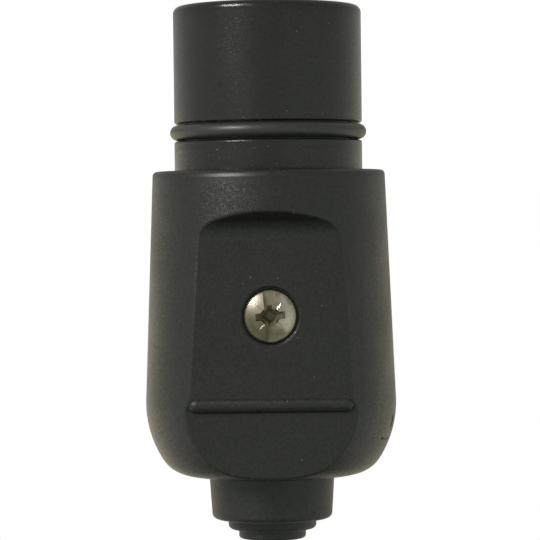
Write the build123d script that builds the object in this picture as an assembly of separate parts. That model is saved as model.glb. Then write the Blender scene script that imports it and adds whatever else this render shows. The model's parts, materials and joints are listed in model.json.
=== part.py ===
from build123d import *
import math
import os

# A two-pole low-voltage plug that stands on the rim of its protective collar.
# The origin is the centre of that rim, and +Z runs towards the cable.
# The housing is two shells that meet at Y = 0, and the screw that closes them faces -Y.
# Lengths are in millimetres and angles in degrees.

# Collar, the round shroud round the contacts
collar_radius = 15.0
collar_length = 18.65
shroud_wall = 2.25
socket_depth = 17.0
carrier_thickness = 7.0
skirt_wall = 2.4
band_length = 4.75
rim_rounding = 1.1
inner_rim_bevel = 0.4
flange_step = 1.4
flange_thickness = 2.4
flange_flat_step = 0.5

# Sealing ring and its groove
ring_section = 2.4
ring_stand_out = 0.68
groove_width = 2.8
groove_edge_bevel = 0.2

# Housing, as seen from the side
housing_length = 48.4
belly_step = 5.0
belly_to_end = 11.5
side_taper = 2.3
shoulder_radius = 16.6
shoulder_turn = 33.0
mouth_rounding = 0.7
wall = 2.3
lip_thickness = 2.4
rib_thickness = 2.0

# Grip panel, the same on both sides
panel_sink = 4.55
scoop_radius = 3.2
scoop_slope = 35.0
scoop_to_mouth = 10.5
ridge_sink = 4.05
ridge_to_end = 11.95
ridge_radius = 1.25
ridge_reach = 12.8
ridge_step_length = 1.8
ridge_step_rounding = 1.0
end_panel_sink = 5.2
panel_edge_rounding = 0.55

# Parting line of the shells
seam_depth = 0.2
seam_half_width = 0.09
tongue_inset = 0.75
tongue_thickness = 0.8
tongue_height = 0.9

# Screw and nut that close the housing
screw_radius = 2.0
screw_length = 25.0
tip_bevel = 0.5
screw_to_mouth = 22.7
head_radius = 4.0
head_height = 3.1
head_edge_height = 2.2
counterbore_radius = 4.4
counterbore_depth = 3.0
recess_span = 4.9
recess_wing = 1.35
recess_depth = 2.0
recess_taper = 13.0
drive_slot_width = 1.2
drive_slot_depth = 0.75
nut_across_flats = 7.0
nut_thickness = 3.2
nut_bevel = 0.3
boss_wall = 1.7
boss_floor = 1.9
boss_neck_radius = 4.2
boss_cone_length = 2.6
gusset_thickness = 1.6
gusset_reach = 10.0
gusset_height = 3.0

# Contacts and their terminal screws
contact_spacing = 11.2
blade_width = 6.0
blade_thickness = 2.0
blade_to_rim = 4.0
blade_tip_chamfer = 0.6
terminal_size = 7.0
terminal_length = 14.0
terminal_pocket = 2.0
core_hole_radius = 1.8
core_hole_depth = 8.0
core_window_radius = 2.5
terminal_screw_radius = 1.5
terminal_screw_length = 3.0
terminal_head_radius = 2.6
terminal_head_height = 1.8
terminal_head_edge_height = 1.4
terminal_screw_to_end = 3.6
terminal_slot_width = 0.8
terminal_slot_depth = 1.0

# Cable gland, from the housing outwards
cord_radius = 3.4
neck_root_radius = 10.02
neck_end_radius = 9.56
neck_length = 7.1
neck_rounding = 0.9
first_step_radius = 7.04
first_step_length = 1.7
first_step_rounding = 0.75
last_step_radius = 5.36
last_step_length = 1.5
last_step_rounding = 0.5
gland_wall = 1.9
gland_bore_radius = 6.7
waist_step = 1.4
gland_flange_step = 1.0
gland_flange_thickness = 2.2
gland_seat_wall = 2.1

# Clamp that holds the cord
clamp_length = 6.5
clamp_ear_length = 3.2
clamp_head_gap = 0.3
clamp_ear_thickness = 2.8
clamp_bridge_thickness = 2.4
clamp_edge_rounding = 0.6
clamp_seat_height = 1.0
clamp_to_gland = 1.6
clamp_arch_step = 0.4
clamp_tooth = 0.9
clamp_tooth_spacing = 2.6
clamp_screw_radius = 1.5
clamp_screw_length = 12.0
clamp_head_radius = 2.8
clamp_head_height = 2.2
clamp_head_edge_height = 1.0
clamp_slot_width = 0.8
clamp_slot_depth = 1.1

# Clearances
fit_gap = 0.1
thread_gap = 0.02
ring_gap = 0.03
shank_gap = 0.25

# Heights along Z
groove_low = collar_length
groove_high = groove_low + groove_width
mouth = groove_high + band_length
housing_end = mouth + housing_length
neck_end = housing_end + neck_length
first_step_end = neck_end + first_step_length
gland_end = first_step_end + last_step_length
flange_low = mouth + lip_thickness
flange_high = flange_low + flange_thickness
rib_high = flange_high + fit_gap + rib_thickness
carrier_high = socket_depth + carrier_thickness
terminal_low = carrier_high - terminal_pocket
terminal_high = terminal_low + terminal_length
partition_low = terminal_high + fit_gap
partition_high = partition_low + rib_thickness
belly_height = housing_end - belly_to_end
ridge_height = housing_end - ridge_to_end
screw_height = mouth + screw_to_mouth
gland_flange_high = housing_end - wall
gland_flange_low = gland_flange_high - gland_flange_thickness
gland_rib_low = gland_flange_low - fit_gap - rib_thickness
clamp_high = gland_rib_low - clamp_to_gland
clamp_low = clamp_high - clamp_length

# Radii and depths that follow from the sizes above
socket_radius = collar_radius - shroud_wall
groove_radius = collar_radius + ring_stand_out - ring_section - ring_gap
skirt_radius = collar_radius - skirt_wall
flange_radius = collar_radius + flange_step
belly_radius = collar_radius + belly_step
panel_depth = belly_radius - panel_sink
ridge_depth = belly_radius - ridge_sink
end_panel_depth = belly_radius - end_panel_sink
reach = belly_radius + 10.0
head_seat = counterbore_depth - panel_depth
nut_front = head_seat + screw_length - nut_thickness - fit_gap
hex_pocket_radius = (nut_across_flats / 2 + fit_gap) / math.cos(math.radians(30))
waist_radius = neck_root_radius - waist_step
clamp_arch_radius = cord_radius + clamp_arch_step
clamp_bridge_radius = clamp_arch_radius + clamp_bridge_thickness
clamp_screw_x = clamp_bridge_radius + clamp_head_gap + clamp_head_radius
clamp_half_width = clamp_screw_x + clamp_ear_length
gland_flange_radius = neck_root_radius + gland_flange_step


def turned(*corners):
    """A solid turned about Z from (radius, height) corners."""
    outline = Polyline(*[(radius, 0, height) for radius, height in corners], close=True)
    return revolve(make_face(outline), Axis.Z)


def round_bar(radius, x, z, front, back):
    """A round bar along Y."""
    bar = Cylinder(radius, back - front, align=(Align.CENTER, Align.CENTER, Align.MIN))
    return Pos(x, front, z) * Rot(-90, 0, 0) * bar


def upright_bar(radius, x, low, high):
    """A round bar along Z."""
    bar = Cylinder(radius, high - low, align=(Align.CENTER, Align.CENTER, Align.MIN))
    return Pos(x, 0, low) * bar


def block(x_low, x_high, y_low, y_high, z_low, z_high):
    """A box between two corners."""
    box = Box(x_high - x_low, y_high - y_low, z_high - z_low)
    return Pos((x_low + x_high) / 2, (y_low + y_high) / 2, (z_low + z_high) / 2) * box


def rings(shape, radius, height):
    """The round edges about Z at one radius and height."""
    circles = shape.edges().filter_by(GeomType.CIRCLE)
    return circles.filter_by(
        lambda edge: abs(edge.radius - radius) < 0.01 and abs(edge.arc_center.Z - height) < 0.01
    )


def collar():
    """The shroud, the contact carrier and the flange, moulded in one."""
    body = turned(
        (0, socket_depth),
        (socket_radius, socket_depth),
        (socket_radius, 0),
        (collar_radius, 0),
        (collar_radius, groove_low),
        (groove_radius, groove_low),
        (groove_radius, groove_high),
        (collar_radius, groove_high),
        (collar_radius, flange_low),
        (flange_radius, flange_low),
        (flange_radius, flange_high),
        (skirt_radius, flange_high),
        (skirt_radius, carrier_high),
        (0, carrier_high),
    )
    body = fillet(rings(body, collar_radius, 0), rim_rounding)
    body = chamfer(rings(body, socket_radius, 0), inner_rim_bevel)
    groove_edges = rings(body, collar_radius, groove_low) + rings(body, collar_radius, groove_high)
    body = chamfer(groove_edges, groove_edge_bevel)
    flat = collar_radius + flange_flat_step
    for side in (-1, 1):
        low, high = sorted((side * flat, side * reach))
        body -= block(low, high, -reach, reach, flange_low, flange_high)
        body -= blade(side, fit_gap / 2, carrier_high)
        x = side * contact_spacing / 2
        half = terminal_size / 2 + fit_gap
        body -= block(x - half, x + half, -half, half, terminal_low, carrier_high)
    return body


def sealing_ring():
    """A ring of round section that stands out of the collar a little."""
    section_radius = ring_section / 2
    ring = Torus(collar_radius + ring_stand_out - section_radius, section_radius)
    return Pos(0, 0, (groove_low + groove_high) / 2) * ring


def blade(side, gap, high):
    """A contact blade, square to its neighbour so that the plug fits one way round."""
    along, across = (blade_thickness, blade_width) if side < 0 else (blade_width, blade_thickness)
    x, half_x, half_y = side * contact_spacing / 2, along / 2 + gap, across / 2 + gap
    return block(x - half_x, x + half_x, -half_y, half_y, blade_to_rim, high)


def contact(side):
    """A blade with the block that takes the core, cut from one piece of brass."""
    x, half = side * contact_spacing / 2, terminal_size / 2
    body = blade(side, 0, terminal_low)
    body = chamfer(body.edges().group_by(Axis.Z)[0], blade_tip_chamfer)
    body += block(x - half, x + half, -half, half, terminal_low, terminal_high)
    body -= upright_bar(core_hole_radius, x, terminal_high - core_hole_depth, terminal_high)
    screw_z = terminal_high - terminal_screw_to_end
    body -= round_bar(terminal_screw_radius + thread_gap, x, screw_z, -half, 0)
    return body


def screw(radius, length, top_radius, top_height, edge_height, slot_width, slot_depth):
    """A slotted screw along Z with its head's seat at the origin and its tip below."""
    rise = top_height - edge_height
    dome_radius = (top_radius**2 + rise**2) / (2 * rise)
    half_way = math.asin(top_radius / dome_radius) / 2
    dome = ThreePointArc(
        (top_radius, 0, edge_height),
        (dome_radius * math.sin(half_way), 0, top_height - dome_radius * (1 - math.cos(half_way))),
        (0, 0, top_height),
    )
    sides = Polyline(
        (0, 0, top_height),
        (0, 0, -length),
        (radius - tip_bevel, 0, -length),
        (radius, 0, tip_bevel - length),
        (radius, 0, 0),
        (top_radius, 0, 0),
        (top_radius, 0, edge_height),
    )
    body = revolve(make_face(dome + sides), Axis.Z)
    slot_floor = top_height - slot_depth
    half = slot_width / 2
    return body - block(-top_radius, top_radius, -half, half, slot_floor, top_height)


def facing_front(shape, x, y, z):
    """Turns a screw made along Z so that its head faces -Y, with its seat at (x, y, z)."""
    return Pos(x, y, z) * Rot(90, 0, 0) * shape


def housing_screw():
    """The pan-head screw with a cross recess, and a slot that runs along the plug."""
    body = screw(
        screw_radius,
        screw_length,
        head_radius,
        head_height,
        head_edge_height,
        drive_slot_width,
        drive_slot_depth,
    )
    wings = Rectangle(recess_span, recess_wing) + Rectangle(recess_wing, recess_span)
    mouth_of_recess = Pos(0, 0, head_height) * wings
    body -= extrude(mouth_of_recess, -recess_depth, taper=recess_taper)
    return facing_front(Rot(0, 0, 90) * body, 0, head_seat, screw_height)


def terminal_screw(side):
    """The screw that presses the core into its block."""
    body = screw(
        terminal_screw_radius,
        terminal_screw_length,
        terminal_head_radius,
        terminal_head_height,
        terminal_head_edge_height,
        terminal_slot_width,
        terminal_slot_depth,
    )
    x = side * contact_spacing / 2
    return facing_front(body, x, -terminal_size / 2, terminal_high - terminal_screw_to_end)


def clamp_screw(side):
    """One of the two screws that draw the clamp down on the cord."""
    body = screw(
        clamp_screw_radius,
        clamp_screw_length,
        clamp_head_radius,
        clamp_head_height,
        clamp_head_edge_height,
        clamp_slot_width,
        clamp_slot_depth,
    )
    seat = clamp_seat_height - clamp_ear_thickness
    return facing_front(body, side * clamp_screw_x, seat, (clamp_low + clamp_high) / 2)


def hexagon_bar(corner_radius, front, back):
    """A six-sided bar along Y at the housing screw, with two corners along the plug."""
    outline = RegularPolygon(corner_radius, 6)
    bar = extrude(outline, back - front)
    return Pos(0, front, screw_height) * Rot(-90, 0, 0) * Rot(0, 0, 30) * bar


def housing_nut():
    """The hexagon nut, with its corners turned off at both faces."""
    flat = nut_across_flats / 2
    corner = flat / math.cos(math.radians(30))
    blank = hexagon_bar(corner, nut_front, nut_front + nut_thickness)
    limit = turned(
        (0, 0),
        (flat, 0),
        (corner, nut_bevel),
        (corner, nut_thickness - nut_bevel),
        (flat, nut_thickness),
        (0, nut_thickness),
    )
    blank &= Pos(0, nut_front, screw_height) * Rot(-90, 0, 0) * limit
    hole = screw_radius + thread_gap
    return blank - round_bar(hole, 0, screw_height, nut_front, nut_front + nut_thickness)


def housing_outline(inset, low):
    """Half the housing's section in the XZ plane, moved inwards by the inset."""
    taper, turn = math.radians(side_taper), math.radians(shoulder_turn)
    centre_x = belly_radius - shoulder_radius
    shoulder_top = belly_height + shoulder_radius * math.sin(turn)
    corner_radius = (housing_end - shoulder_top) / (1 - math.sin(turn))
    corner_x = centre_x + (shoulder_radius - corner_radius) * math.cos(turn)
    corner_z = housing_end - corner_radius

    def on_shoulder(angle):
        radius = shoulder_radius - inset
        return (centre_x + radius * math.cos(angle), 0, belly_height + radius * math.sin(angle))

    def on_corner(angle):
        radius = corner_radius - inset
        return (corner_x + radius * math.cos(angle), 0, corner_z + radius * math.sin(angle))

    side_top = on_shoulder(-taper)
    side_low = (side_top[0] - (side_top[2] - low) * math.tan(taper), 0, low)
    square = math.pi / 2
    outline = Line(side_low, side_top)
    outline += ThreePointArc(side_top, on_shoulder((turn - taper) / 2), on_shoulder(turn))
    outline += ThreePointArc(on_shoulder(turn), on_corner((turn + square) / 2), on_corner(square))
    outline += Polyline(on_corner(square), (0, 0, housing_end - inset), (0, 0, low), side_low)
    return make_face(outline)


def panel_cutter(inset):
    """What is taken off the front to leave the scoop, the grip panel and the end panel.

    The inset moves the cut inwards, so that the cavity keeps the wall's thickness there.
    """
    scoop_low = mouth + scoop_to_mouth
    rounding = scoop_radius + inset
    turn = math.radians(90 - scoop_slope)

    def on_scoop(angle):
        y = rounding * math.cos(angle) - panel_depth - scoop_radius
        return (0, y, scoop_low - rounding * math.sin(angle))

    start, end = on_scoop(0), (0, inset - end_panel_depth, housing_end + wall)
    bend = on_scoop(turn)
    top = (0, -reach, bend[2] - (reach + bend[1]) / math.tan(turn))
    slope = ridge_step_length / 2
    panel_line = FilletPolyline(
        start,
        (0, inset - panel_depth, ridge_height - slope),
        (0, inset - end_panel_depth, ridge_height + slope),
        end,
        radius=ridge_step_rounding,
    )
    scoop = ThreePointArc(bend, on_scoop(turn / 2), start)
    back = Polyline(end, (0, -reach, housing_end + wall), top, bend)
    return extrude(make_face(panel_line + scoop + back), reach, both=True)


def ridge():
    """The finger ridge across the panel, a full round bead with round ends."""
    straight = ridge_reach - ridge_radius
    bead = Rot(0, 90, 0) * Cylinder(ridge_radius, 2 * straight)
    for side in (-1, 1):
        bead += Pos(side * straight, 0, 0) * Sphere(ridge_radius)
    return Pos(0, ridge_radius - ridge_depth, ridge_height) * bead


def both_sides(shape):
    """A shape on the front with its mirror image on the back."""
    return shape + mirror(shape, Plane.XZ)


def panel_edges(body):
    """The sharp edges where the grip panels meet the round form."""
    nearest = end_panel_depth - panel_edge_rounding
    edges = body.edges().filter_by(lambda edge: abs(edge.center().Y) > nearest)
    return edges.filter_by(lambda edge: edge.geom_type not in (GeomType.LINE, GeomType.CIRCLE))


def outer_form():
    """The housing as one closed solid with its grip panels."""
    body = revolve(housing_outline(0, mouth), Axis.Z)
    mouth_edge = body.edges().filter_by(GeomType.CIRCLE).group_by(Axis.Z)[0]
    body = fillet(mouth_edge, mouth_rounding)
    body -= both_sides(panel_cutter(0))
    body = fillet(panel_edges(body), panel_edge_rounding)
    return body + both_sides(ridge())


def cavity():
    """The room for the cores, between the partition and the gland's seat."""
    room = revolve(housing_outline(wall, partition_high), Axis.Z)
    room -= both_sides(panel_cutter(wall))
    seat_radius = gland_flange_radius + gland_seat_wall
    return room - upright_bar(seat_radius, 0, gland_rib_low, housing_end)


def terminal_room():
    """The room between the collar's flange and the partition."""
    room = revolve(housing_outline(wall, rib_high), Axis.Z)
    room &= block(-reach, reach, -reach, reach, rib_high, partition_low)
    return room - both_sides(panel_cutter(wall))


def collar_seat():
    """The hole for the collar, its flange and the terminal blocks."""
    flat = collar_radius + flange_flat_step + fit_gap
    seat = upright_bar(collar_radius + fit_gap, 0, mouth, flange_low - fit_gap)
    groove = upright_bar(flange_radius + fit_gap, 0, flange_low - fit_gap, flange_high + fit_gap)
    seat += groove & block(-flat, flat, -reach, reach, mouth, rib_high)
    return seat + upright_bar(skirt_radius, 0, flange_high, rib_high)


def gland_seat():
    """The hole for the gland's waist and inner flange."""
    seat = upright_bar(waist_radius + fit_gap / 2, 0, gland_rib_low, housing_end)
    flange = upright_bar(
        gland_flange_radius + fit_gap, 0, gland_flange_low - fit_gap, gland_flange_high
    )
    return seat + flange


def boss(wide_radius, wide_end, panel):
    """A boss round the screw on the front, from the panel to the parting line, with two gussets."""
    body = round_bar(wide_radius, 0, screw_height, -panel, wide_end)
    cone = Cone(wide_radius, boss_neck_radius, boss_cone_length)
    cone = Pos(0, wide_end + boss_cone_length / 2, screw_height) * Rot(-90, 0, 0) * cone
    body += cone
    body += round_bar(boss_neck_radius, 0, screw_height, wide_end, 0)
    half = gusset_thickness / 2
    gusset_top = wall - panel + gusset_height
    low, high = screw_height - half, screw_height + half
    return body + block(-gusset_reach, gusset_reach, -panel, gusset_top, low, high)


def wall_band(outer_inset, inner_inset, low, high, front, back):
    """A strip that follows the housing's side wall on both sides, from front to back along Y."""
    strip = housing_outline(outer_inset, low) - housing_outline(inner_inset, low)
    strip = extrude(strip, back - front, dir=(0, 1, 0))
    strip = Pos(0, front, 0) * strip
    strip &= block(0, reach, -reach, reach, low, high)
    return strip + mirror(strip, Plane.YZ)


def seam():
    """The fine groove that shows where the shells meet."""
    strip = housing_outline(-seam_depth, mouth - seam_depth)
    strip -= housing_outline(seam_depth, mouth + seam_depth)
    strip = extrude(strip, seam_half_width, dir=(0, 1, 0), both=True)
    return strip + mirror(strip, Plane.YZ)


def core_windows():
    """The holes in the partition where the two cores pass to their blocks."""
    windows = upright_bar(core_window_radius, -contact_spacing / 2, partition_low, partition_high)
    return windows + mirror(windows, Plane.YZ)


def hollow_housing():
    """Both shells before they are parted."""
    body = outer_form()
    for hollow in (cavity(), terminal_room(), collar_seat(), gland_seat(), core_windows(), seam()):
        body -= hollow
    return body


def front_half(body):
    """What lies before the parting plane."""
    return body & block(-reach, reach, -reach, 0, mouth - wall, housing_end + wall)


def front_shell(body):
    """The shell that takes the screw's head, with the tongue."""
    shell = front_half(body)
    boss_end = head_seat + boss_floor
    shell += boss(counterbore_radius + boss_wall, boss_end, panel_depth - wall / 2)
    low, high = rib_high, belly_height
    inner = tongue_inset + tongue_thickness
    shell += wall_band(tongue_inset, inner, low, high, -tongue_height, tongue_height)
    shell -= round_bar(counterbore_radius, 0, screw_height, -reach, head_seat)
    return shell - round_bar(screw_radius + shank_gap, 0, screw_height, head_seat, 0)


def rear_shell(body):
    """The shell that holds the nut and the cord's saddle, with the groove for the tongue."""
    shell = mirror(front_half(body), Plane.XZ)
    pocket_floor = nut_front
    rear_boss = boss(hex_pocket_radius + boss_wall, boss_floor - pocket_floor, panel_depth - wall / 2)
    shell += mirror(rear_boss, Plane.XZ)
    low, high = rib_high - fit_gap, belly_height + fit_gap
    inner = tongue_inset + tongue_thickness + fit_gap
    shell -= wall_band(tongue_inset - fit_gap, inner, low, high, 0, tongue_height + fit_gap)
    saddle_back = end_panel_depth - wall / 2
    shell += block(
        -clamp_half_width, clamp_half_width, clamp_seat_height, saddle_back, clamp_low, clamp_high
    )
    shell -= upright_bar(cord_radius, 0, clamp_low, clamp_high)
    tip = clamp_seat_height - clamp_ear_thickness + clamp_screw_length + fit_gap
    for side in (-1, 1):
        x = side * clamp_screw_x
        middle = (clamp_low + clamp_high) / 2
        shell -= round_bar(clamp_screw_radius + thread_gap, x, middle, clamp_seat_height, tip)
    shell -= hexagon_bar(hex_pocket_radius, pocket_floor, reach)
    return shell - round_bar(screw_radius + shank_gap, 0, screw_height, 0, reach)


def cable_gland():
    """The rubber gland, stepped outside and inside so that a step can be cut off for a thicker cord."""
    body = turned(
        (gland_bore_radius, gland_flange_low),
        (gland_flange_radius, gland_flange_low),
        (gland_flange_radius, gland_flange_high),
        (waist_radius, gland_flange_high),
        (waist_radius, housing_end),
        (neck_root_radius, housing_end),
        (neck_end_radius, neck_end),
        (first_step_radius, neck_end),
        (first_step_radius, first_step_end),
        (last_step_radius, first_step_end),
        (last_step_radius, gland_end),
        (cord_radius, gland_end),
        (cord_radius, first_step_end - gland_wall),
        ((gland_bore_radius + cord_radius) / 2, first_step_end - gland_wall),
        ((gland_bore_radius + cord_radius) / 2, neck_end - gland_wall),
        (gland_bore_radius, neck_end - gland_wall),
    )
    body = fillet(rings(body, neck_end_radius, neck_end), neck_rounding)
    body = fillet(rings(body, first_step_radius, first_step_end), first_step_rounding)
    return fillet(rings(body, last_step_radius, gland_end), last_step_rounding)


def cord_clamp():
    """The bar across the cord, an arch between two ears, with two teeth that bite the sheath."""
    front = clamp_seat_height - clamp_ear_thickness
    middle = (clamp_low + clamp_high) / 2
    bar = block(-clamp_half_width, clamp_half_width, front, clamp_seat_height, clamp_low, clamp_high)
    bar += upright_bar(clamp_bridge_radius, 0, clamp_low, clamp_high)
    bar &= block(-reach, reach, -reach, clamp_seat_height, clamp_low, clamp_high)
    bar -= upright_bar(clamp_arch_radius, 0, clamp_low, clamp_high)
    for side in (-1, 1):
        low = middle + side * clamp_tooth_spacing / 2 - clamp_tooth / 2
        tooth = upright_bar(clamp_arch_radius + fit_gap, 0, low, low + clamp_tooth)
        tooth -= upright_bar(cord_radius - fit_gap, 0, low, low + clamp_tooth)
        bar += tooth & block(-reach, reach, -reach, 0, clamp_low, clamp_high)
        x = side * clamp_screw_x
        bar -= round_bar(clamp_screw_radius + shank_gap, x, middle, front, clamp_seat_height)
    corners = bar.edges().filter_by(Axis.Y).group_by(Axis.X)
    return fillet(corners[0] + corners[-1], clamp_edge_rounding)


housing = hollow_housing()
pieces = {
    "collar": collar(),
    "sealing_ring": sealing_ring(),
    "front_shell": front_shell(housing),
    "rear_shell": rear_shell(housing),
    "housing_screw": housing_screw(),
    "housing_nut": housing_nut(),
    "cable_gland": cable_gland(),
    "cord_clamp": cord_clamp(),
}
for side, name in ((-1, "left"), (1, "right")):
    pieces["contact_" + name] = contact(side)
    pieces["terminal_screw_" + name] = terminal_screw(side)
    pieces["clamp_screw_" + name] = clamp_screw(side)

os.makedirs("parts", exist_ok=True)
for name, piece in pieces.items():
    export_step(piece, "parts/" + name + ".step")
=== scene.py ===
import json
from math import cos, pi, radians, sin, sqrt

import bmesh
import bpy
from mathutils import Matrix, Vector


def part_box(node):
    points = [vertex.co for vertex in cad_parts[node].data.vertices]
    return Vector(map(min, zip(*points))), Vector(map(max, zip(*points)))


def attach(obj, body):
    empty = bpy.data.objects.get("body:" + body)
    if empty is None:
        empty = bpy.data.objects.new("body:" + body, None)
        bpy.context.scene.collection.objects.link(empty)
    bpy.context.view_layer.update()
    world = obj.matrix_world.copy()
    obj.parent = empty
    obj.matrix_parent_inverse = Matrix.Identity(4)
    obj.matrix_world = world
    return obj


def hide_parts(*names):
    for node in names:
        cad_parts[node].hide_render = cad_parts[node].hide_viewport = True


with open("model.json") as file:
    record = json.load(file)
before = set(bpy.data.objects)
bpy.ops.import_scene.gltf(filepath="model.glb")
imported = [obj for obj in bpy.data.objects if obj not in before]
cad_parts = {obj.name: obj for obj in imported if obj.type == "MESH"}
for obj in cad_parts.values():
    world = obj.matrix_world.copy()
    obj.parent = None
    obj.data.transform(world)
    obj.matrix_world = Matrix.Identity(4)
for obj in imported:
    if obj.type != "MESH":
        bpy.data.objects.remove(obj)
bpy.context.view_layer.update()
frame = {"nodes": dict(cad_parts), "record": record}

MM = 0.001

# Studio levels, where 1 is white.
TABLE_SEEN = 0.86
TABLE_MIRRORED = 0.3
ROOM_SIDES = 0.76
ROOM_DARK = 0.22
ROOM_AMBIENT = 0.5
BACKDROP_EXTRA = 0.42
BACKDROP_LEAN = 0.3
LOW_BACKDROP_LOSS = 0.9
BEHIND_RIGHT_LOSS = 0.8
CAMERA_SHADE = 0.24
DARK_SIDE = Vector((0, -0.1, 1))

# Places on the plug, in millimetres, as the part's source has them.
GROOVE_LOW = 18.65
GROOVE_HIGH = 21.45
BAND_MIDDLE = 24.2
MOUTH = 26.2
SCREW_HEIGHT = 48.9
HEAD_SEAT = -12.45
HEAD_TOP = -15.75
COUNTERBORE_RADIUS = 4.4

# Wear, dust, dirt and the painted shade of nicks. Lengths are in millimetres.
COUNTERBORE_ROUNDING = 0.3
COUNTERBORE_SINK = 0.2
WEAR_FULL = 0.6
WEAR_NONE = 1.6
GRAIN_WORN_OFF = 0.85
NICK_RAGGEDNESS = 0.25
# Painted shade for the nicks: a darker colour and a dimmed shine stand in for the shade inside them.
NICK_SHADE_COLOUR = "#060606"
NICK_SHADE_GLOSS_LOSS = 0.48
DUST_SPACING = 0.42
DUST_ANYWHERE = 0.004
DUST_THICKNESS = 0.05
DUST_ROUGHNESS = 0.9
DUST_COLOUR = "#77766f"
DIRT_COLOUR = "#726c54"
SMEAR_COLOUR = "#5d5649"

PLASTIC_GLOSS = 0.5
PLASTIC_IOR = 1.53


# Shared helpers

def linear(hex_colour):
    """An sRGB hex colour as the linear RGBA that the shaders take."""
    channels = [int(hex_colour[i:i + 2], 16) / 255 for i in (1, 3, 5)]
    return [c / 12.92 if c <= 0.04045 else ((c + 0.055) / 1.055) ** 2.4 for c in channels] + [1.0]


def add_node(tree, kind, inputs=(), **settings):
    """Adds a node. Its inputs come in the order of its sockets, or by socket in a dictionary.

    Each input is a value to set, a socket to link, or a node whose first result is linked.
    """
    node = tree.nodes.new(kind)
    for name, value in settings.items():
        setattr(node, name, value)
    for key, value in inputs.items() if isinstance(inputs, dict) else enumerate(inputs):
        if isinstance(value, bpy.types.Node):
            value = next(socket for socket in value.outputs if socket.enabled)
        if isinstance(value, bpy.types.NodeSocket):
            tree.links.new(value, node.inputs[key])
        else:
            node.inputs[key].default_value = value
    return node


def new_material(name):
    """An empty material, its node tree and its output."""
    material = bpy.data.materials.new(name)
    material.use_nodes = True
    tree = material.node_tree
    tree.nodes.clear()
    return material, tree, tree.nodes.new("ShaderNodeOutputMaterial")


def per_metre(millimetres):
    """A pattern's scale on Object coordinates, from the real size of one of its marks."""
    return 1 / (millimetres * MM)


def fade(tree, value, full, none):
    """1 where the value is at full, 0 where it is at none, and a smooth step between them."""
    return add_node(tree, "ShaderNodeMapRange", {
        "Value": value, "From Min": none, "From Max": full, "To Min": 0.0, "To Max": 1.0},
        interpolation_type="SMOOTHSTEP")


# Patterns in the materials

def spark_eroded_height(tree, place, grain):
    """Rounded pits one grain apart with finer roughness between them, as a height from 0 to about 1."""
    pits = add_node(tree, "ShaderNodeTexVoronoi", {"Vector": place, "Scale": per_metre(grain)},
                    feature="SMOOTH_F1")
    cloud = add_node(tree, "ShaderNodeTexNoise", {
        "Vector": place, "Scale": per_metre(grain * 0.8), "Detail": 2.0})
    return add_node(tree, "ShaderNodeMath", (pits, cloud), operation="ADD")


def glinting_normal(tree, place, grain, tilt):
    """The surface's normal with each grain tilted its own way, so that single grains glint in the lamp."""
    grains = add_node(tree, "ShaderNodeTexVoronoi", {"Vector": place, "Scale": per_metre(grain)})
    lean = add_node(tree, "ShaderNodeVectorMath", (grains.outputs["Color"], (0.5, 0.5, 0.5)),
                    operation="SUBTRACT")
    lean = add_node(tree, "ShaderNodeVectorMath", {0: lean, "Scale": tilt}, operation="SCALE")
    upright = add_node(tree, "ShaderNodeNewGeometry").outputs["Normal"]
    leaning = add_node(tree, "ShaderNodeVectorMath", (upright, lean), operation="ADD")
    return add_node(tree, "ShaderNodeVectorMath", (leaning,), operation="NORMALIZE")


def dust_specks(tree, place, level, seams):
    """Where pale dust lies: scattered specks that crowd along seams and bands.

    Each of those is a height, the reach of its dust and the share of the grid's cells that hold a speck.
    """
    specks = add_node(tree, "ShaderNodeTexVoronoi", {
        "Vector": place, "Scale": per_metre(DUST_SPACING)}).outputs
    crowd = DUST_ANYWHERE
    for seam, reach, share in seams:
        offset = add_node(tree, "ShaderNodeMath", (level, seam * MM), operation="SUBTRACT")
        away = add_node(tree, "ShaderNodeMath", (offset,), operation="ABSOLUTE")
        near = fade(tree, away, 0.2 * reach * MM, reach * MM)
        near = add_node(tree, "ShaderNodeMath", (near, share), operation="MULTIPLY")
        crowd = add_node(tree, "ShaderNodeMath", (near, crowd), operation="MAXIMUM")
    chance = add_node(tree, "ShaderNodeSeparateColor", (specks["Color"],)).outputs["Red"]
    there = add_node(tree, "ShaderNodeMath", (chance, crowd), operation="LESS_THAN")
    speck = fade(tree, specks["Distance"], 0.12, 0.3)
    return add_node(tree, "ShaderNodeMath", (speck, there), operation="MULTIPLY")


def counterbore_edge(tree, place):
    """How far the panel's surface sinks round the screw's counterbore, in millimetres."""
    parts = add_node(tree, "ShaderNodeSeparateXYZ", (place,)).outputs
    up = add_node(tree, "ShaderNodeMath", (parts["Z"], SCREW_HEIGHT * MM), operation="SUBTRACT")
    square = add_node(tree, "ShaderNodeMath", (parts["X"], parts["X"]), operation="MULTIPLY")
    square = add_node(tree, "ShaderNodeMath", (up, up, square), operation="MULTIPLY_ADD")
    away = add_node(tree, "ShaderNodeMath", (square,), operation="SQRT")
    sunk = fade(tree, away, COUNTERBORE_RADIUS * MM, (COUNTERBORE_RADIUS + COUNTERBORE_ROUNDING) * MM)
    front = add_node(tree, "ShaderNodeMath", (parts["Y"], 0.0), operation="LESS_THAN")
    sunk = add_node(tree, "ShaderNodeMath", (sunk, front), operation="MULTIPLY")
    return add_node(tree, "ShaderNodeMath", (sunk, COUNTERBORE_SINK), operation="MULTIPLY")


def nearness(tree, place, start, end, width):
    """1 on the straight line between two points, falling to 0 at its width, all in millimetres."""
    first, along = Vector(start) * MM, (Vector(end) - Vector(start)) * MM
    offset = add_node(tree, "ShaderNodeVectorMath", (place, first), operation="SUBTRACT")
    part = add_node(tree, "ShaderNodeVectorMath", (offset, along / along.length_squared),
                    operation="DOT_PRODUCT")
    part = add_node(tree, "ShaderNodeClamp", (part,))
    foot = add_node(tree, "ShaderNodeVectorMath", {0: along, "Scale": part}, operation="SCALE")
    away = add_node(tree, "ShaderNodeVectorMath", (offset, foot), operation="DISTANCE")
    return fade(tree, away, 0.3 * width * MM, width * MM)


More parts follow.
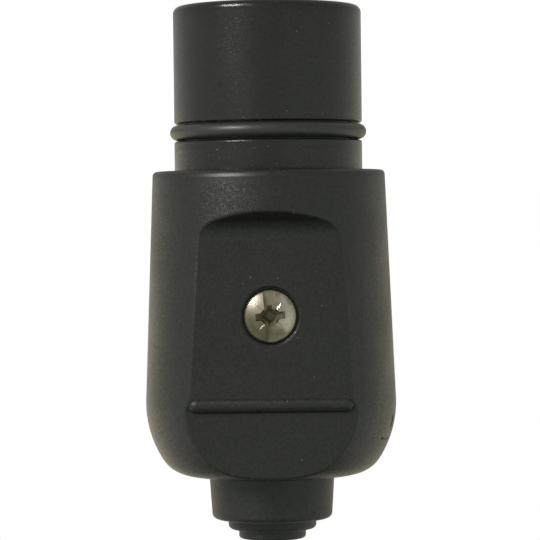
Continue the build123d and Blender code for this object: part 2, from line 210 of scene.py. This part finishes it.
# Moulded plastics and rubbers

def moulded(name, colours, roughness, grain, depth, tilt, dusty_seams=(), nicks=(), worn_edges=()):
    """A moulded piece in one dark colour: its grain, its dust, the nicks in it and its worn edges.

    A worn edge is its height, how far its rounding reaches, how deep that is, and how much
    smoother wear has polished it. A piece with nicks has the screw's counterbore as well.
    """
    material, tree, output = new_material(name)
    place = add_node(tree, "ShaderNodeTexCoord").outputs["Object"]
    level = add_node(tree, "ShaderNodeSeparateXYZ", (place,)).outputs["Z"]
    pits = spark_eroded_height(tree, place, grain)
    height = add_node(tree, "ShaderNodeMath", (pits, depth), operation="MULTIPLY")
    handled = add_node(tree, "ShaderNodeTexNoise", {"Vector": place, "Scale": per_metre(9), "Detail": 2.0})
    rough = add_node(tree, "ShaderNodeMapRange", {
        "Value": handled, "From Min": 0.3, "From Max": 0.7,
        "To Min": roughness - 0.04, "To Max": roughness + 0.04})
    shade = add_node(tree, "ShaderNodeTexNoise", {
        "Vector": place, "Scale": per_metre(2 * grain), "Detail": 2.0})
    paint = add_node(tree, "ShaderNodeMix", {
        0: fade(tree, shade, 0.7, 0.3), 6: linear(colours[0]), 7: linear(colours[1])}, data_type="RGBA")
    gloss = PLASTIC_GLOSS

    # Wear polishes an edge and takes most of its grain off.
    grain_left = 1.0
    for edge, reach, sink, polish in worn_edges:
        offset = add_node(tree, "ShaderNodeMath", (level, (edge + reach / 2) * MM), operation="SUBTRACT")
        away = add_node(tree, "ShaderNodeMath", (offset,), operation="ABSOLUTE")
        wear = fade(tree, away, WEAR_FULL * MM, WEAR_NONE * MM)
        polished = add_node(tree, "ShaderNodeMath", (wear, polish), operation="MULTIPLY")
        rough = add_node(tree, "ShaderNodeMath", (rough, polished), operation="SUBTRACT")
        kept = add_node(tree, "ShaderNodeMath", (wear, -GRAIN_WORN_OFF, 1.0), operation="MULTIPLY_ADD")
        grain_left = add_node(tree, "ShaderNodeMath", (grain_left, kept), operation="MULTIPLY")
    height = add_node(tree, "ShaderNodeMath", (height, grain_left), operation="MULTIPLY")
    for edge, reach, sink, polish in worn_edges:
        rounding = fade(tree, level, edge * MM, (edge + reach) * MM)
        rounding = add_node(tree, "ShaderNodeMath", (rounding, sink), operation="MULTIPLY")
        height = add_node(tree, "ShaderNodeMath", (height, rounding), operation="SUBTRACT")

    # The counterbore's edge is rounded and smooth. A nick is torn, and painted shade darkens its colour and
    # dims its shine.
    if nicks:
        sunk = counterbore_edge(tree, place)
        height = add_node(tree, "ShaderNodeMath", (height, sunk), operation="SUBTRACT")
        rough = add_node(tree, "ShaderNodeMath", (sunk, -0.8, rough), operation="MULTIPLY_ADD")
        kept = add_node(tree, "ShaderNodeMath", (sunk, -4.5, 1.0), operation="MULTIPLY_ADD")
        grain_left = add_node(tree, "ShaderNodeMath", (grain_left, kept), operation="MULTIPLY")
        rags = add_node(tree, "ShaderNodeTexNoise", {
            "Vector": place, "Scale": per_metre(0.6), "Detail": 2.0}, normalize=False)
        torn = add_node(tree, "ShaderNodeVectorMath", (
            rags.outputs["Color"], (NICK_RAGGEDNESS * MM,) * 3, place), operation="MULTIPLY_ADD")
    for start, end, width, nick_depth in nicks:
        inside = nearness(tree, torn, start, end, width)
        cut_depth = add_node(tree, "ShaderNodeMath", (inside, nick_depth), operation="MULTIPLY")
        height = add_node(tree, "ShaderNodeMath", (height, cut_depth), operation="SUBTRACT")
        # Painted shade: inside a nick the shine is dimmed and the colour darkened, in place of the cavity's
        # shade.
        gloss = add_node(tree, "ShaderNodeMath", (inside, -NICK_SHADE_GLOSS_LOSS, gloss),
                         operation="MULTIPLY_ADD")
        dark = add_node(tree, "ShaderNodeMath", (inside, 0.8), operation="MULTIPLY")
        paint = add_node(tree, "ShaderNodeMix", {0: dark, 6: paint, 7: linear(NICK_SHADE_COLOUR)},
                         data_type="RGBA")

    if dusty_seams:
        dust = dust_specks(tree, place, level, dusty_seams)
        paint = add_node(tree, "ShaderNodeMix", {0: dust, 6: paint, 7: linear(DUST_COLOUR)},
                         data_type="RGBA")
        height = add_node(tree, "ShaderNodeMath", (dust, DUST_THICKNESS, height), operation="MULTIPLY_ADD")
        dull = add_node(tree, "ShaderNodeMath", (dust, DUST_ROUGHNESS), operation="MULTIPLY")
        rough = add_node(tree, "ShaderNodeMath", (rough, dull), operation="MAXIMUM")

    tilt = add_node(tree, "ShaderNodeMath", (grain_left, tilt), operation="MULTIPLY")
    glint = glinting_normal(tree, place, grain * 0.75, tilt)
    bump = add_node(tree, "ShaderNodeBump", {
        "Height": height, "Distance": MM, "Strength": 1.0, "Normal": glint})
    shader = add_node(tree, "ShaderNodeBsdfPrincipled", {
        "Base Color": paint, "Roughness": rough, "IOR": PLASTIC_IOR, "Specular IOR Level": gloss,
        "Normal": bump})
    tree.links.new(shader.outputs[0], output.inputs["Surface"])
    return material


# Two nicks at the shoulder, darkened with painted shade: a short gouge on the side, and a thin scratch
# across the curve.
# Each is a start, an end, a half width and a depth.
shoulder_nicks = [
    ((-19.2, -5.0, 65.6), (-18.9, -5.1, 66.5), 1.0, 0.12),
    ((-17.2, -8.3, 68.55), (-18.35, -4.8, 68.85), 0.3, 0.06),
]
BLACK_POLYAMIDE = ("#0b0c0a", "#1c1d1a")

# Black polyamide from a spark-eroded mould: matt, with fine pits that sparkle where the lamp grazes them.
# The real pits are finer than a pixel of the photo, so they are drawn as coarse as the speckle it shows.
housing_plastic = moulded(
    "spark_eroded_polyamide", BLACK_POLYAMIDE, 0.4, 0.24, 0.016, 0.16, [(MOUTH, 0.7, 0.2)],
    shoulder_nicks, [(MOUTH, 1.25, 0.3, 0.02)])
# The same polyamide from a finer mould: slightly glossier, with a softer speckle and dust at the groove.
collar_plastic = moulded(
    "fine_grained_polyamide", BLACK_POLYAMIDE, 0.22, 0.22, 0.016, 0.1,
    [(GROOVE_LOW - 0.3, 0.7, 0.2), (BAND_MIDDLE, 2.6, 0.1), (MOUTH, 0.7, 0.2)], (),
    [(0.0, 0.8, 0.0, 0.0), (GROOVE_HIGH, 0.4, 0.14, 0.0)])
# Moulded rubber: dull and nearly smooth, with a faint cloudy bloom.
gland_rubber = moulded("moulded_rubber", ("#0d0e0c", "#1d1e1b"), 0.5, 0.4, 0.02, 0.1)
# Nitrile rubber: a smooth skin with a soft sheen.
ring_rubber = moulded("nitrile_rubber", ("#292a28", "#31322f"), 0.4, 0.4, 0.006, 0.04)
# Dark grey polyamide of the cord clamp, with the same matt grain as the housing.
clamp_plastic = moulded("grey_polyamide", ("#363736", "#3e3f3e"), 0.45, 0.3, 0.02, 0.1)


# Metals

def worked_metal(name, bright, stained, roughness, centre, ring_spacing, dirt=(), smears=()):
    """A bare metal with the fine rings that a lathe or a polishing wheel leaves, and patches of brown stain.

    The rings run round a line through the centre along Y. Dirt, where given, is a pair of depths
    along Y, between which old brown dirt fills what is cut into the metal. Smears are darker
    patches, each a start, an end and a half width.
    """
    material, tree, output = new_material(name)
    place = add_node(tree, "ShaderNodeTexCoord").outputs["Object"]
    local = add_node(tree, "ShaderNodeMapping", {"Vector": place, "Location": Vector(centre) * -MM})
    rings = add_node(tree, "ShaderNodeTexWave", {
        "Vector": local, "Scale": per_metre(ring_spacing) / 20 * pi, "Distortion": 1.2, "Detail": 2.0},
        wave_type="RINGS", rings_direction="Y").outputs["Fac"]
    rings = add_node(tree, "ShaderNodeMath", (rings, 0.3), operation="MULTIPLY")
    scratches = add_node(tree, "ShaderNodeTexNoise", {
        "Vector": local, "Scale": per_metre(0.3), "Detail": 2.0})
    height = add_node(tree, "ShaderNodeMath", (rings, scratches), operation="ADD")
    bump = add_node(tree, "ShaderNodeBump", {"Height": height, "Distance": 0.006 * MM, "Strength": 1.0})
    patches = add_node(tree, "ShaderNodeTexNoise", {
        "Vector": place, "Scale": per_metre(1.6), "Detail": 4.0})
    stain = fade(tree, patches, 0.72, 0.42)
    tint = add_node(tree, "ShaderNodeMix", {0: stain, 6: linear(bright), 7: linear(stained)},
                    data_type="RGBA")
    rough = add_node(tree, "ShaderNodeMapRange", {
        "Value": stain, "From Min": 0.0, "From Max": 1.0, "To Min": roughness, "To Max": roughness + 0.15})
    for start, end, width in smears:
        smear = nearness(tree, place, start, end, width)
        smear = add_node(tree, "ShaderNodeMath", (smear, 0.8), operation="MULTIPLY")
        tint = add_node(tree, "ShaderNodeMix", {0: smear, 6: tint, 7: linear(SMEAR_COLOUR)},
                        data_type="RGBA")
    metallic = 1.0
    if dirt:
        depth = add_node(tree, "ShaderNodeSeparateXYZ", (place,)).outputs["Y"]
        filled = fade(tree, depth, dirt[1] * MM, dirt[0] * MM)
        tint = add_node(tree, "ShaderNodeMix", {0: filled, 6: tint, 7: linear(DIRT_COLOUR)},
                        data_type="RGBA")
        metallic = add_node(tree, "ShaderNodeMath", (filled, -0.9, 1.0), operation="MULTIPLY_ADD")
    shader = add_node(tree, "ShaderNodeBsdfPrincipled", {
        "Base Color": tint, "Roughness": rough, "Metallic": metallic, "Normal": bump})
    tree.links.new(shader.outputs[0], output.inputs["Surface"])
    return material


# Nickel-plated steel, handled for years: a warm grey shine with brown tarnish in patches.
screw_steel = worked_metal(
    "nickel_plated_steel", "#c9c1b6", "#857a68", 0.27, (0, 0, SCREW_HEIGHT), 0.12)
# The same plating on the outside screw, with old dirt in its slot and recess that dulls them to brown.
worn_steel = worked_metal(
    "worn_nickel_plated_steel", "#bcb3a6", "#84775f", 0.25, (0, 0, SCREW_HEIGHT), 0.12,
    (HEAD_TOP + 0.35, HEAD_TOP + 1.3), [((0.6, HEAD_TOP, 51.8), (3.4, HEAD_TOP, 50.2), 3.0)])
# Free-cutting brass, sawn and drilled: yellow and satin, browner where it was touched.
contact_brass = worked_metal("machined_brass", "#d6bb7e", "#a8854c", 0.3, (5.6, 0, 10), 0.2)

FINISHES = {
    "housing_plastic": housing_plastic,
    "collar_plastic": collar_plastic,
    "gland_rubber": gland_rubber,
    "ring_rubber": ring_rubber,
    "contact_brass": contact_brass,
    "screw_steel": screw_steel,
    "clamp_plastic": clamp_plastic,
}
for row in frame["record"]["subparts"]:
    for holder in frame["nodes"][row["node"]].material_slots:
        holder.material = FINISHES[row["material_slot"]]


# Screws

SCREW_SIZES = ("Head Radius", "Head Height", "Slot Width", "Slot Depth", "Recess Span", "Recess Wing",
               "Recess Depth", "Thread Radius", "Thread Length", "Thread Start", "Pitch")
# A thread's depth as a share of its pitch.
TOOTH_SHARE = 0.42
DOME_STEPS = 12


def turned_blank(name, section, sides):
    """A closed turned body round Z, from its section as radius and height in millimetres."""
    form = bmesh.new()
    corners = [form.verts.new((radius * MM, 0, height * MM)) for radius, height in section]
    line = [form.edges.new(pair) for pair in zip(corners, corners[1:])]
    bmesh.ops.spin(form, geom=corners + line, cent=(0, 0, 0), axis=(0, 0, 1), angle=2 * pi, steps=sides)
    bmesh.ops.remove_doubles(form, verts=form.verts, dist=0.001 * MM)
    bmesh.ops.recalc_face_normals(form, faces=form.faces)
    mesh = bpy.data.meshes.new(name)
    form.to_mesh(mesh)
    form.free()
    return mesh


def pan_head_section(shank, core, head, edge_height, head_height, length):
    """A screw's section from its tip, which is down, to the top of its head, with the seat at 0."""
    rise = head_height - edge_height
    dome = (head * head + rise * rise) / (2 * rise)
    tip = core * 0.6
    section = [(0, -length), (tip, -length), (core, core - tip - length)]
    section += [(core, -1.2), (shank, -0.8), (shank, 0)]
    section += [(head - 0.15, 0), (head, 0.15), (head, edge_height - 0.05)]
    for step in range(DOME_STEPS):
        radius = (head - 0.04) * (1 - step / DOME_STEPS)
        section.append((radius, head_height - dome + sqrt(dome * dome - radius * radius)))
    return section + [(0, head_height)]


def screw_tree():
    """Cuts a slot or a slotted cross recess into a turned blank and winds its thread on.

    Sizes are in metres. The cross recess is two tapered wings with a pointed middle, and it has
    four fine tick marks between the wings, as screws of this kind have.
    """
    tree = bpy.data.node_groups.new("slotted_screw", "GeometryNodeTree")
    sockets = {}
    tree.interface.new_socket("Geometry", in_out="INPUT", socket_type="NodeSocketGeometry")
    for name in SCREW_SIZES:
        sockets[name] = tree.interface.new_socket(
            name, in_out="INPUT", socket_type="NodeSocketFloat").identifier
    sockets["Material"] = tree.interface.new_socket(
        "Material", in_out="INPUT", socket_type="NodeSocketMaterial").identifier
    tree.interface.new_socket("Geometry", in_out="OUTPUT", socket_type="NodeSocketGeometry")
    given = tree.nodes.new("NodeGroupInput").outputs
    span, wing_width, recess_depth = given["Recess Span"], given["Recess Wing"], given["Recess Depth"]

    # The slot's cutter is longer than the head is wide, and only its lower half cuts.
    slot_length = add_node(tree, "ShaderNodeMath", (given["Head Radius"], 2.2), operation="MULTIPLY")
    slot_height = add_node(tree, "ShaderNodeMath", (given["Slot Depth"], 2.0), operation="MULTIPLY")
    slot_size = add_node(tree, "ShaderNodeCombineXYZ", (given["Slot Width"], slot_length, slot_height))
    slot = add_node(tree, "GeometryNodeMeshCube", {"Size": slot_size})
    top = add_node(tree, "ShaderNodeCombineXYZ", {"Z": given["Head Height"]})
    slot = add_node(tree, "GeometryNodeTransform", {"Geometry": slot, "Translation": top})

    # A four-sided cone turned by 45 degrees and squeezed is a wing with sloping walls.
    wing = add_node(tree, "GeometryNodeMeshCone", {
        "Vertices": 4, "Radius Top": sqrt(0.5), "Radius Bottom": sqrt(0.5) * 0.34, "Depth": recess_depth})
    wing = add_node(tree, "GeometryNodeTransform", {"Geometry": wing, "Rotation": (0, 0, radians(45))})
    drop = add_node(tree, "ShaderNodeMath", (recess_depth, 0.93), operation="MULTIPLY")
    low = add_node(tree, "ShaderNodeMath", (given["Head Height"], drop), operation="SUBTRACT")
    foot = add_node(tree, "ShaderNodeCombineXYZ", {"Z": low})
    wings = []
    for size in ((span, wing_width, 1.0), (wing_width, span, 1.0)):
        wings.append(add_node(tree, "GeometryNodeTransform", {
            "Geometry": wing, "Translation": foot, "Scale": add_node(tree, "ShaderNodeCombineXYZ", size)}))

    # The recess's middle is a deeper four-sided cone, whose corners point along the wings.
    pit_depth = add_node(tree, "ShaderNodeMath", (recess_depth, 1.25), operation="MULTIPLY")
    pit_top = add_node(tree, "ShaderNodeMath", (span, 0.4), operation="MULTIPLY")
    pit_bottom = add_node(tree, "ShaderNodeMath", (span, 0.15), operation="MULTIPLY")
    middle = add_node(tree, "GeometryNodeMeshCone", {
        "Vertices": 4, "Radius Top": pit_top, "Radius Bottom": pit_bottom, "Depth": pit_depth})
    drop = add_node(tree, "ShaderNodeMath", (recess_depth, 0.3), operation="MULTIPLY")
    pit_foot = add_node(tree, "ShaderNodeMath", (low, drop), operation="SUBTRACT")
    pit_foot = add_node(tree, "ShaderNodeCombineXYZ", {"Z": pit_foot})
    middle = add_node(tree, "GeometryNodeTransform", {"Geometry": middle, "Translation": pit_foot})

    # The tick marks are short bars laid on edge, so that each cuts a small vee. They lean a little
    # outwards, with the dome of the head.
    tick_length = add_node(tree, "ShaderNodeMath", (span, 0.26), operation="MULTIPLY")
    tick_size = add_node(tree, "ShaderNodeCombineXYZ", (tick_length, 0.24 * MM, 0.24 * MM))
    tick = add_node(tree, "GeometryNodeMeshCube", {"Size": tick_size})
    tick = add_node(tree, "GeometryNodeTransform", {"Geometry": tick, "Rotation": (radians(45), 0, 0)})
    tick_out = add_node(tree, "ShaderNodeMath", (span, 0.41), operation="MULTIPLY")
    tick_up = add_node(tree, "ShaderNodeMath", (given["Head Height"], 0.22 * MM), operation="SUBTRACT")
    tick_place = add_node(tree, "ShaderNodeCombineXYZ", {"X": tick_out, "Z": tick_up})
    tick = add_node(tree, "GeometryNodeTransform", {
        "Geometry": tick, "Translation": tick_place, "Rotation": (0, radians(5), 0),
        "Scale": (1, 1.2, 0.6)})
    ticks = [add_node(tree, "GeometryNodeTransform", {"Geometry": tick, "Rotation": (0, 0, radians(turn))})
             for turn in (45, 135, 225, 315)]

    # The slot is always cut, and the recess only where its span isn't 0.
    slotted = add_node(tree, "GeometryNodeMeshBoolean", {"Mesh 1": given["Geometry"], "Mesh 2": slot},
                       operation="DIFFERENCE", solver="MANIFOLD")
    crossed = slotted
    for cutter in wings + [middle] + ticks:
        crossed = add_node(tree, "GeometryNodeMeshBoolean", {"Mesh 1": crossed, "Mesh 2": cutter},
                           operation="DIFFERENCE", solver="MANIFOLD")
    has_recess = add_node(tree, "ShaderNodeMath", (span, 0.0), operation="GREATER_THAN")
    body = add_node(tree, "GeometryNodeSwitch", {"Switch": has_recess, "False": slotted, "True": crossed},
                    input_type="GEOMETRY")

    # The thread is a three-sided tooth along a helix, about half sunk into the core.
    rotations = add_node(tree, "ShaderNodeMath", (given["Thread Length"], given["Pitch"]),
                         operation="DIVIDE")
    helix = add_node(tree, "GeometryNodeCurveSpiral", {
        "Resolution": 20, "Rotations": rotations, "Start Radius": given["Thread Radius"],
        "End Radius": given["Thread Radius"], "Height": given["Thread Length"]})
    helix = add_node(tree, "GeometryNodeSetCurveNormal", {"Curve": helix}, mode="Z_UP")
    tooth_size = add_node(tree, "ShaderNodeMath", (given["Pitch"], TOOTH_SHARE), operation="MULTIPLY")
    tooth = add_node(tree, "GeometryNodeCurvePrimitiveCircle", {"Resolution": 3, "Radius": tooth_size})
    thread = add_node(tree, "GeometryNodeCurveToMesh", {
        "Curve": helix, "Profile Curve": tooth, "Fill Caps": True})
    start = add_node(tree, "ShaderNodeCombineXYZ", {"Z": given["Thread Start"]})
    thread = add_node(tree, "GeometryNodeTransform", {"Geometry": thread, "Translation": start})

    both = add_node(tree, "GeometryNodeJoinGeometry", (body,))
    tree.links.new(thread.outputs[0], both.inputs[0])
    real = add_node(tree, "GeometryNodeRealizeInstances", (both,))
    finished = add_node(tree, "GeometryNodeSetMaterial", {"Geometry": real, "Material": given["Material"]})
    add_node(tree, "NodeGroupOutput", (finished,))
    return tree, sockets


slotted_screw, screw_sockets = screw_tree()


def make_screw(node, place, turn, shank, core, head, edge_height, head_height, length, pitch, cuts, finish):
    """A detailed screw for a CAD node, with its head towards -Y and its seat at the place."""
    section = pan_head_section(shank, core, head, edge_height, head_height, length)
    blank = turned_blank(node + "_blank", section, 96 if cuts["Recess Span"] else 48)
    worker = bpy.data.objects.new(node + "_blank", blank)
    bpy.context.scene.collection.objects.link(worker)
    modifier = worker.modifiers.new("cuts_and_thread", "NODES")
    modifier.node_group = slotted_screw
    sizes = dict(cuts, **{
        "Head Radius": head, "Head Height": head_height, "Pitch": pitch,
        "Thread Radius": shank - pitch * TOOTH_SHARE, "Thread Length": length - 2.4,
        "Thread Start": 0.9 - length})
    for name, value in sizes.items():
        modifier[screw_sockets[name]] = float(value * MM)
    modifier[screw_sockets["Material"]] = finish
    whole = worker.evaluated_get(bpy.context.evaluated_depsgraph_get())
    mesh = bpy.data.meshes.new_from_object(whole)
    bpy.data.objects.remove(worker)
    upright = Matrix.Rotation(radians(90), 4, "X") @ Matrix.Rotation(radians(turn), 4, "Z")
    mesh.transform(Matrix.Translation(Vector(place) * MM) @ upright)
    mesh.shade_smooth()
    mesh.set_sharp_from_angle(angle=radians(28))
    piece = bpy.data.objects.new(node + "_detailed", mesh)
    bpy.context.scene.collection.objects.link(piece)
    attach(piece, "root")
    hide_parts(node)


cross_cuts = {
    "Slot Width": 1.65, "Slot Depth": 0.95, "Recess Span": 5.3, "Recess Wing": 1.3, "Recess Depth": 2.0}
make_screw("housing_screw", (0, HEAD_SEAT, SCREW_HEIGHT), 4.7, 2.0, 1.65, 4.0, 2.45, 3.3, 25.0, 0.7,
           cross_cuts, worn_steel)

plain_slot = {
    "Slot Width": 0.8, "Slot Depth": 1.05, "Recess Span": 0.0, "Recess Wing": 0.0, "Recess Depth": 0.0}
for side, turn in (("left", 62.0), ("right", 11.0)):
    for kind, head, edge_height, head_height, length in (
            ("terminal_screw_", 2.6, 1.4, 1.8, 3.0), ("clamp_screw_", 2.8, 1.0, 2.2, 12.0)):
        low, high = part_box(kind + side)
        middle = [(a + b) / 2 / MM for a, b in zip(low, high)]
        seat = low[1] / MM + head_height
        make_screw(kind + side, (middle[0], seat, middle[2]), turn, 1.5, 1.25, head, edge_height,
                   head_height, length, 0.5, plain_slot, screw_steel)


# Light table

TABLE_RADIUS = 2.0
TABLE_CORNERS = 64
turns = [radians(360 * i / TABLE_CORNERS) for i in range(TABLE_CORNERS)]
table_mesh = bpy.data.meshes.new("light_table")
table_mesh.from_pydata([(TABLE_RADIUS * cos(turn), TABLE_RADIUS * sin(turn), 0) for turn in turns],
                       [], [list(range(TABLE_CORNERS))])
light_table = bpy.data.objects.new("light_table", table_mesh)
bpy.context.scene.collection.objects.link(light_table)
light_table.visible_shadow = False

# The table and the world look white from the camera. The plastic and the metal mirror a studio
# that is white behind the plug and at the sides, and darker on the camera's side.
table_white, tree, output = new_material("white_light_table")
path = add_node(tree, "ShaderNodeLightPath").outputs
mirrored = add_node(tree, "ShaderNodeMath", (path["Is Glossy Ray"], path["Is Transmission Ray"]),
                    operation="MAXIMUM")
mirrored = add_node(tree, "ShaderNodeMath", (mirrored, TABLE_MIRRORED), operation="MULTIPLY")
glow_level = add_node(tree, "ShaderNodeMath", (path["Is Camera Ray"], TABLE_SEEN, mirrored),
                      operation="MULTIPLY_ADD")
glow = add_node(tree, "ShaderNodeEmission", {"Color": linear("#ffffff"), "Strength": glow_level})
sheet = add_node(tree, "ShaderNodeBsdfDiffuse", {"Color": linear("#bcbcbc")})
top_side = add_node(tree, "ShaderNodeAddShader", (glow, sheet))
below = add_node(tree, "ShaderNodeNewGeometry").outputs["Backfacing"]
clear = add_node(tree, "ShaderNodeBsdfTransparent")
seen = add_node(tree, "ShaderNodeMixShader", (below, top_side, clear))
tree.links.new(seen.outputs[0], output.inputs["Surface"])
table_mesh.materials.append(table_white)


# World

world = bpy.data.worlds.new("studio")
bpy.context.scene.world = world
world.use_nodes = True
tree = world.node_tree
tree.nodes.clear()
path = add_node(tree, "ShaderNodeLightPath").outputs
direction = add_node(tree, "ShaderNodeTexCoord").outputs["Generated"]
along = add_node(tree, "ShaderNodeSeparateXYZ", (direction,)).outputs

# Left, right and low are meant as in the photo, where +X is left and +Z is down.
# The room's walls are pale, and its dark side is low.
facing_dark = add_node(tree, "ShaderNodeVectorMath", (direction, DARK_SIDE.normalized()),
                       operation="DOT_PRODUCT")
room = add_node(tree, "ShaderNodeMapRange", {
    "Value": facing_dark, "From Min": 0.45, "From Max": 0.9, "To Min": ROOM_SIDES, "To Max": ROOM_DARK},
    interpolation_type="SMOOTHSTEP")

# The backdrop behind the plug is brighter, more so on the left, and fades out low down and on the right.
backdrop = add_node(tree, "ShaderNodeMapRange", {
    "Value": along["Y"], "From Min": 0.1, "From Max": 0.85, "To Min": 0.0, "To Max": BACKDROP_EXTRA},
    interpolation_type="SMOOTHSTEP")
brighter_left = add_node(tree, "ShaderNodeMath", (along["X"], BACKDROP_LEAN, 1.0),
                         operation="MULTIPLY_ADD")
lower_part = add_node(tree, "ShaderNodeMath", (fade(tree, along["Z"], 0.6, 0.1), -LOW_BACKDROP_LOSS, 1.0),
                      operation="MULTIPLY_ADD")
behind_right = add_node(tree, "ShaderNodeMath", (
    fade(tree, along["X"], -0.45, -0.8), fade(tree, along["X"], -0.1, 0.15)), operation="MULTIPLY")
unshaded = add_node(tree, "ShaderNodeMath", (behind_right, -BEHIND_RIGHT_LOSS, 1.0),
                    operation="MULTIPLY_ADD")
left_over = add_node(tree, "ShaderNodeMath", (lower_part, unshaded), operation="MULTIPLY")
backdrop = add_node(tree, "ShaderNodeMath", (backdrop, left_over), operation="MULTIPLY")
studio = add_node(tree, "ShaderNodeMath", (backdrop, brighter_left, room), operation="MULTIPLY_ADD")

# The camera darkens a patch of the room behind it.
at_camera = fade(tree, along["Y"], -0.92, -0.72)
for full, none in ((-0.3, -0.42), (0.1, 0.45)):
    at_camera = add_node(tree, "ShaderNodeMath", (at_camera, fade(tree, along["X"], full, none)),
                         operation="MULTIPLY")
camera_shade = add_node(tree, "ShaderNodeMath", (at_camera, CAMERA_SHADE), operation="MULTIPLY")
studio = add_node(tree, "ShaderNodeMath", (studio, camera_shade), operation="SUBTRACT")

mirrored = add_node(tree, "ShaderNodeMath", (path["Is Glossy Ray"], path["Is Transmission Ray"]),
                    operation="MAXIMUM")
unseen = add_node(tree, "ShaderNodeMix", {0: mirrored, 2: ROOM_AMBIENT, 3: studio})
level = add_node(tree, "ShaderNodeMix", {0: path["Is Camera Ray"], 2: unseen, 3: 1.0})
warmth = add_node(tree, "ShaderNodeMix", {
    0: fade(tree, along["Y"], 0.8, 0.0), 6: linear("#f6fff0"), 7: linear("#fff5dc")}, data_type="RGBA")
tint = add_node(tree, "ShaderNodeMix", {
    0: path["Is Camera Ray"], 6: warmth, 7: linear("#ffffff")}, data_type="RGBA")
sky = add_node(tree, "ShaderNodeBackground", {"Color": tint, "Strength": level})
add_node(tree, "ShaderNodeOutputWorld", {"Surface": sky})


# Lamp

def softbox(name, azimuth, elevation, distance, size, power):
    """A square lamp that faces the plug's middle. Azimuth 0 is the screw side, and 90 is +X.

    It is sampled directly only, because a ray that a glossy edge sends down to it meets the table first.
    """
    a, e = radians(azimuth), radians(elevation)
    lamp = bpy.data.lights.new(name, "AREA")
    lamp.size = size
    lamp.energy = power
    lamp.color = (1.0, 0.96, 0.9)
    lamp.cycles.use_multiple_importance_sampling = False
    holder = bpy.data.objects.new(name, lamp)
    away = Vector((sin(a) * cos(e), -cos(a) * cos(e), sin(e)))
    middle = Vector((0, 0, 42 * MM))
    holder.location = middle + away * distance
    holder.rotation_euler = away.to_track_quat("Z", "Y").to_euler()
    holder.visible_camera = False
    bpy.context.scene.collection.objects.link(holder)


softbox("key", 45, -32, 0.8, 0.3, 4.3)


# Camera

# The photo is taken square on from the screw side, upside down and leaning by a fraction of a degree.
camera_data = bpy.data.cameras.new("photo_view")
camera_data.lens = 171.7
camera = bpy.data.objects.new("photo_view", camera_data)
bpy.context.scene.collection.objects.link(camera)
bpy.context.scene.camera = camera
lean = radians(0.644)
eye = Vector((-0.05, -412, 34.5)) * MM
aim = Vector((-0.05, 0, 42.05)) * MM
backward = (eye - aim).normalized()
rightward = Vector((-sin(lean), 0, -cos(lean))).cross(backward).normalized()
upward = backward.cross(rightward)
camera.matrix_world = Matrix.Translation(eye) @ Matrix((rightward, upward, backward)).transposed().to_4x4()

bpy.context.scene.view_settings.view_transform = "Standard"
